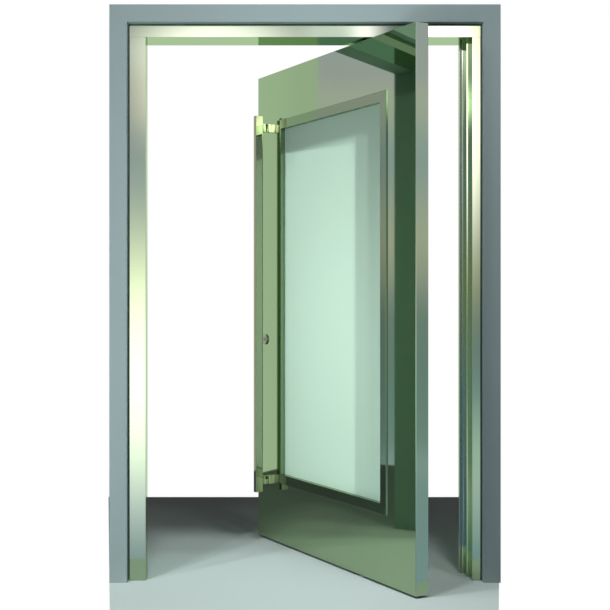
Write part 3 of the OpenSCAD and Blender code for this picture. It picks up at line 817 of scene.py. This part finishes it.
# Plain light of that card, by height
CARD_STEPS = (
    (-1.5, (0.12, 0.246, 0.477)),
    (-0.6, (0.12, 0.178, 0.619)),
    (0.4, (0.12, 0.212, 0.477)),
    (1.4, (0.40, 0.352, 0.371)),
    (2.4, (0.434, 0.433, 0.737)),
    (3.9, (0.12, 0.15, 0.20)),
)
FRONT_CARD_DEPTH = -5.6
FRONT_CARD_ENDS = (-3.4, 2.6)
FRONT_CARD_HEIGHTS = (-2.4, 4.8)

# The white card behind the door, from its left end on
WHITE_CARD_STEPS = (
    (-3.1, (0.71, 0.72, 0.73)),
    (-2.8, (0.73, 0.74, 0.75)),
    (-2.3, (0.81, 0.81, 0.82)),
    (-1.2, (1.0, 1.0, 1.0)),
)

# The floor narrows towards the camera, so that its sides stand upright in the picture
FLOOR_NEAR = -3.0
FLOOR_NEAR_ENDS = (-0.63, 0.09)
FLOOR_FAR_ENDS = (-1.505, 0.96)
# The floor that the steel mirrors lies this much above it, and glows a little in the shade
MIRRORED_FLOOR_LIFT = 0.0005
MIRRORED_FLOOR_COLOUR = (0.48, 0.50, 0.54)
MIRRORED_FLOOR_GLOW = (0.05, 0.055, 0.065)

SENSOR_WIDTH = 36.0


def colour_steps(tree, value, steps, interpolation):
    """A colour ramp over value, which runs between the first and the last step; returns its colour."""
    ramp = tree.nodes.new("ShaderNodeValToRGB")
    ramp.color_ramp.interpolation = interpolation
    elements = ramp.color_ramp.elements
    while len(elements) > 1:
        elements.remove(elements[-1])
    low = steps[0][0]
    high = steps[-1][0]
    for index, (height, colour) in enumerate(steps):
        position = (height - low) / (high - low)
        element = elements[0] if index == 0 else elements.new(position)
        element.position = position
        element.color = (*colour, 1.0)
    tree.links.new(map_range(tree, value, low, high, 0.0, 1.0), ramp.inputs["Fac"])
    return ramp.outputs["Color"]


def build_world(scene, stage):
    """White to the camera, plain light on matte surfaces, and soft bands for polished steel."""
    world = bpy.data.worlds.new("Studio")
    scene.world = world
    world.use_nodes = True
    tree = world.node_tree
    tree.nodes.clear()
    output = tree.nodes.new("ShaderNodeOutputWorld")
    background = tree.nodes.new("ShaderNodeBackground")
    coordinates = tree.nodes.new("ShaderNodeTexCoord")
    parts = tree.nodes.new("ShaderNodeSeparateXYZ")
    tree.links.new(coordinates.outputs["Generated"], parts.inputs[0])
    x, y, z = parts.outputs
    level = math_node(tree, "MAXIMUM", math_node(tree, "SQRT", sum_of_squares(tree, x, y)), LEAST_LEVEL)
    slope = math_node(tree, "DIVIDE", z, level)
    bands = colour_steps(tree, slope, SKY_STEPS, "B_SPLINE")
    rays = tree.nodes.new("ShaderNodeLightPath")
    plain = (stage.ambient, stage.ambient, stage.ambient)
    shown = math_node(tree, "MAXIMUM", rays.outputs["Is Camera Ray"], rays.outputs["Is Transmission Ray"])
    colour = mix_colour(tree, rays.outputs["Is Glossy Ray"], plain, bands)
    colour = mix_colour(tree, shown, colour, (1.0, 1.0, 1.0))
    tree.links.new(colour, background.inputs["Color"])
    tree.links.new(background.outputs[0], output.inputs["Surface"])


def stage_sheet(name, corners, material):
    """A flat stage sheet through the corners."""
    data = bpy.data.meshes.new(name)
    data.from_pydata([tuple(c) for c in corners], [], [tuple(range(len(corners)))])
    data.materials.append(material)
    sheet = bpy.data.objects.new(name, data)
    bpy.context.scene.collection.objects.link(sheet)
    return sheet


def emission_material(name):
    """An empty emission material; returns it with its tree and the emission node."""
    material = bpy.data.materials.new(name)
    material.use_nodes = True
    tree = material.node_tree
    tree.nodes.clear()
    output = tree.nodes.new("ShaderNodeOutputMaterial")
    emission = tree.nodes.new("ShaderNodeEmission")
    tree.links.new(emission.outputs[0], output.inputs["Surface"])
    return material, tree, emission


def place_of(tree):
    """Sockets for the place of the shaded point."""
    geometry = tree.nodes.new("ShaderNodeNewGeometry")
    place = tree.nodes.new("ShaderNodeSeparateXYZ")
    tree.links.new(geometry.outputs["Position"], place.inputs[0])
    return place.outputs


def white_card_material():
    """White card that grows a little darker towards its left end."""
    material, tree, emission = emission_material("white_card")
    colour = colour_steps(tree, place_of(tree)["X"], WHITE_CARD_STEPS, "LINEAR")
    tree.links.new(colour, emission.inputs["Color"])
    return material


def front_card_material():
    """Card with soft boxes that the faces which look at the camera mirror."""
    material, tree, emission = emission_material("front_card")
    place = place_of(tree)
    colour = colour_steps(tree, place["Z"], CARD_STEPS, "LINEAR")
    for centre, size, tint in SOFT_BOXES:
        colour = add_colours(tree, colour, soft_box(tree, place["X"], place["Z"], centre, size, tint))
    tree.links.new(colour, emission.inputs["Color"])
    return material


def pale_floor_material(name, colour, glow=(0.0, 0.0, 0.0)):
    """Matte pale floor, with a little light of its own where it is only there to be mirrored."""
    material, tree, shader = new_material(name)
    shader.inputs["Base Color"].default_value = (*colour, 1.0)
    shader.inputs["Roughness"].default_value = 0.85
    shader.inputs["Specular IOR Level"].default_value = 0.1
    shader.inputs["Emission Color"].default_value = (*glow, 1.0)
    shader.inputs["Emission Strength"].default_value = 1.0
    return material


def receivers(name, objects):
    """A collection that names what a lamp lights."""
    group = bpy.data.collections.new(name)
    for item in objects:
        group.objects.link(item)
    return group


def studio_lamp(name, data, group):
    """Adds a lamp that lights only the group and that polished steel doesn't mirror."""
    lamp = bpy.data.objects.new(name, data)
    lamp.visible_camera = False
    lamp.visible_glossy = False
    lamp.visible_transmission = False
    lamp.light_linking.receiver_collection = group
    bpy.context.scene.collection.objects.link(lamp)
    return lamp


def sun_lamp(name, azimuth, elevation, level, spread, group):
    """Parallel light; azimuth runs from the front to the left.

    Level is the light that it gives a face that looks at it.
    """
    data = bpy.data.lights.new(name, "SUN")
    data.energy = math.pi * level
    data.angle = math.radians(spread)
    lamp = studio_lamp(name, data, group)
    turn = math.radians(azimuth)
    rise = math.radians(elevation)
    travel = Vector((math.sin(turn) * math.cos(rise), math.cos(turn) * math.cos(rise), -math.sin(rise)))
    lamp.rotation_euler = travel.to_track_quat("-Z", "Y").to_euler()


def bulb_lamp(name, place, radius, level, group):
    """A round lamp; level is the light that it gives one metre away."""
    data = bpy.data.lights.new(name, "POINT")
    data.shadow_soft_size = radius
    data.energy = 4.0 * math.pi * math.pi * level
    lamp = studio_lamp(name, data, group)
    lamp.location = place


def hide_sheet(sheet, glossy=False, shadow=False):
    """Shows a stage sheet only to the rays that are asked for."""
    sheet.visible_camera = False
    sheet.visible_glossy = glossy
    sheet.visible_shadow = shadow
    sheet.visible_diffuse = False
    sheet.visible_transmission = False


def level_corners(ends, depths, height):
    """Corners of a level sheet."""
    left, right = ends
    front, back = depths
    return [(left, front, height), (right, front, height), (right, back, height), (left, back, height)]


def upright_corners(ends, depth, heights):
    """Corners of an upright sheet that runs across the picture."""
    left, right = ends
    low, high = heights
    return [(left, depth, low), (right, depth, low), (right, depth, high), (left, depth, high)]


def flag_sheet(name, corners):
    """A black sheet that is only there to cast a shadow."""
    material, tree, shader = new_material(name)
    shader.inputs["Base Color"].default_value = (0.0, 0.0, 0.0, 1.0)
    hide_sheet(stage_sheet(name, corners, material), shadow=True)


GLASS_NODES = ("outer_glass", "inner_glass")

# The lamps' places and angles were chosen. The levels of the floor's, the door's and the glass's
# lamps come from a least-squares fit to the light in the photo.

# Parallel lamps: azimuth from the front to the left, elevation, spread, level
FLOOR_SUNS = (
    (-4.0, 68.0, 5.0, 0.131),
    (45.0, 60.0, 0.8, 0.133),
    (-34.0, 60.0, 4.0, 0.098),
    (-8.0, 68.0, 5.0, 0.053),
    (-28.0, 50.0, 4.0, 0.036),
)
# Round lamps: place, radius, level one metre away
FLOOR_BULBS = (
    ((-1.6, -1.2, 4.0), 0.05, 3.36),
    ((-2.4, -3.6, 4.0), 0.05, 4.14),
    ((0.0, -0.5, 0.8), 0.05, 0.108),
    ((-0.8, -0.5, 4.0), 0.05, 1.48),
)
DOOR_BULBS = (
    ((0.0, -1.2, 2.6), 0.05, 0.669),
    ((-1.6, -1.2, 0.5), 0.05, 0.591),
    ((-1.6, -2.2, 1.6), 0.05, 0.726),
    ((-0.8, -2.2, 1.0), 0.05, 0.580),
    ((-0.8, -1.2, 1.6), 0.05, 0.267),
    ((-0.8, -1.2, 2.6), 0.05, 0.246),
    ((-1.6, -2.2, 0.5), 0.05, 0.395),
)
GLASS_BULBS = (
    ((-3.05, 0.853, 2.23), 0.006, 2.24),
    ((-1.2, -0.7, 0.7), 0.3, 0.641),
    ((-0.95, -0.4, 1.3), 0.3, 0.316),
    ((1.6, -3.6, 4.0), 0.05, 48.2),
    ((0.8, -2.2, 4.0), 0.05, 8.23),
)
# Parallel lamps for the sides that the photo doesn't show: name, what they light, azimuth, elevation, level
SIDE_SUNS = (
    ("door_sun_back", "door", 180.0, 35.0, 0.6),
    ("glass_sun_back", "glass", 180.0, 35.0, 0.45),
    ("door_sun_left_side", "left_side", 100.0, 30.0, 0.4),
    ("door_sun_right_side", "right_side", -100.0, 30.0, 0.5),
)
SIDE_SUN_SPREAD = 8.0

# The flags that stand for the wall reach this far out and up, and this far in over the surround
WALL_REACH = 6.0
WALL_OVERLAP = 0.02
# Corners of the flag that shades the top of the glass from the lamp at the left
GLASS_FLAG = ((-1.6, 0.1, 2.10), (-1.6, 1.1, 2.10), (-1.6, 1.1, 2.7), (-1.6, 0.1, 2.7))


class DOOR_OT_stage(bpy.types.Operator):
    """Sets up the camera, the pale floor, the cards that the steel mirrors and the world"""

    bl_idname = "door.stage"
    bl_label = "Studio Stage"

    def execute(self, context):
        scene = context.scene
        stage = scene.door_stage
        scene.view_settings.view_transform = "Standard"
        build_world(scene, stage)
        ends = (stage.floor_left, stage.floor_right)
        near_left, near_right = FLOOR_NEAR_ENDS
        far_left, far_right = FLOOR_FAR_ENDS
        floor = stage_sheet(
            "floor",
            ((near_left, FLOOR_NEAR, 0), (near_right, FLOOR_NEAR, 0),
             (far_right, stage.floor_back, 0), (far_left, stage.floor_back, 0)),
            pale_floor_material("pale_floor", tuple(stage.floor_colour)))
        floor.visible_glossy = False
        mirrored = stage_sheet(
            "mirrored_floor",
            level_corners(ends, (stage.floor_front, stage.floor_back), MIRRORED_FLOOR_LIFT),
            pale_floor_material("mirrored_floor", MIRRORED_FLOOR_COLOUR, MIRRORED_FLOOR_GLOW))
        card = stage_sheet(
            "white_card",
            upright_corners(ends, stage.floor_back, (0, stage.card_height)),
            white_card_material())
        front = stage_sheet(
            "front_card",
            upright_corners(FRONT_CARD_ENDS, FRONT_CARD_DEPTH, FRONT_CARD_HEIGHTS),
            front_card_material())
        for sheet in (mirrored, card, front):
            hide_sheet(sheet, glossy=True)
        data = bpy.data.cameras.new("camera")
        data.sensor_width = SENSOR_WIDTH
        data.lens = stage.lens
        data.shift_y = stage.shift
        data.clip_start = 0.05
        data.clip_end = 100.0
        camera = bpy.data.objects.new("camera", data)
        camera.location = stage.camera_place
        camera.rotation_euler = (math.radians(90.0), 0.0, 0.0)
        scene.collection.objects.link(camera)
        scene.camera = camera
        return {"FINISHED"}


class DOOR_OT_lamps(bpy.types.Operator):
    """Lights the floor, the coated surround and the glass, each with its own soft lamps"""

    bl_idname = "door.lamps"
    bl_label = "Studio Lamps"

    def execute(self, context):
        stage = context.scene.door_stage
        low, high = CAD_BOX
        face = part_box("header")[0].y
        left = low[0] + WALL_OVERLAP
        right = high[0] - WALL_OVERLAP
        top = high[2] - WALL_OVERLAP
        flag_sheet("wall_flag_left", upright_corners((-WALL_REACH, left), face, (0.0, WALL_REACH)))
        flag_sheet("wall_flag_right", upright_corners((right, WALL_REACH), face, (0.0, WALL_REACH)))
        flag_sheet("wall_flag_top", upright_corners((left, right), face, (top, WALL_REACH)))
        flag_sheet("glass_flag", GLASS_FLAG)
        opaque = [node for name, node in NODES.items() if name not in GLASS_NODES]
        floors = [bpy.data.objects[name] for name in ("floor", "mirrored_floor")]
        groups = {
            "glass": receivers("lit_glass", [NODES[name] for name in GLASS_NODES]),
            "door": receivers("lit_door", opaque),
            "floor": receivers("lit_floor", floors),
            "left_side": receivers("lit_left_side", [NODES["surround_left"]]),
            "right_side": receivers("lit_right_side", [NODES["surround_right"]]),
        }
        for index, (azimuth, elevation, spread, level) in enumerate(FLOOR_SUNS, 1):
            power = stage.floor_light * level
            sun_lamp(f"floor_sun_{index}", azimuth, elevation, power, spread, groups["floor"])
        sets = (
            ("floor", stage.floor_light, FLOOR_BULBS),
            ("door", stage.door_light, DOOR_BULBS),
            ("glass", stage.glass_light, GLASS_BULBS),
        )
        for name, share, bulbs in sets:
            for index, (place, radius, level) in enumerate(bulbs, 1):
                bulb_lamp(f"{name}_bulb_{index}", place, radius, share * level, groups[name])
        for name, group, azimuth, elevation, level in SIDE_SUNS:
            sun_lamp(name, azimuth, elevation, level, SIDE_SUN_SPREAD, groups[group])
        return {"FINISHED"}


class DOOR_PT_finishes(bpy.types.Panel):
    """Lists the door's pieces and their settings"""

    bl_idname = "DOOR_PT_finishes"
    bl_label = "Pivot Entry Door"
    bl_space_type = "VIEW_3D"
    bl_region_type = "UI"
    bl_category = "Door"

    def draw(self, context):
        layout = self.layout
        for attribute, group in SETTINGS:
            settings = getattr(context.scene, attribute)
            box = layout.box()
            box.label(text=group.__doc__)
            for key in group.__annotations__:
                box.prop(settings, key)
        for operator in OPERATORS:
            layout.operator(operator.bl_idname)


OPERATORS = (
    DOOR_OT_stage,
    DOOR_OT_lamps,
    DOOR_OT_finish_surround,
    DOOR_OT_finish_frame,
    DOOR_OT_finish_leaf,
    DOOR_OT_glaze,
    DOOR_OT_pull_handles,
    DOOR_OT_lock,
    DOOR_OT_pivots,
)


def register():
    """Registers the settings, the operators and the panel."""
    for attribute, group in SETTINGS:
        bpy.utils.register_class(group)
        setattr(bpy.types.Scene, attribute, bpy.props.PointerProperty(type=group))
    for operator in OPERATORS:
        bpy.utils.register_class(operator)
    bpy.utils.register_class(DOOR_PT_finishes)


def unregister():
    """Removes what register() added."""
    bpy.utils.unregister_class(DOOR_PT_finishes)
    for operator in reversed(OPERATORS):
        bpy.utils.unregister_class(operator)
    for attribute, group in reversed(SETTINGS):
        delattr(bpy.types.Scene, attribute)
        bpy.utils.unregister_class(group)


def main():
    register()
    bpy.ops.door.stage()
    bpy.ops.door.lamps()
    bpy.ops.door.finish_surround()
    bpy.ops.door.finish_frame()
    bpy.ops.door.finish_leaf()
    bpy.ops.door.glaze()
    bpy.ops.door.pull_handles()
    bpy.ops.door.lock()
    bpy.ops.door.pivots()


if __name__ == "__main__":
    main()
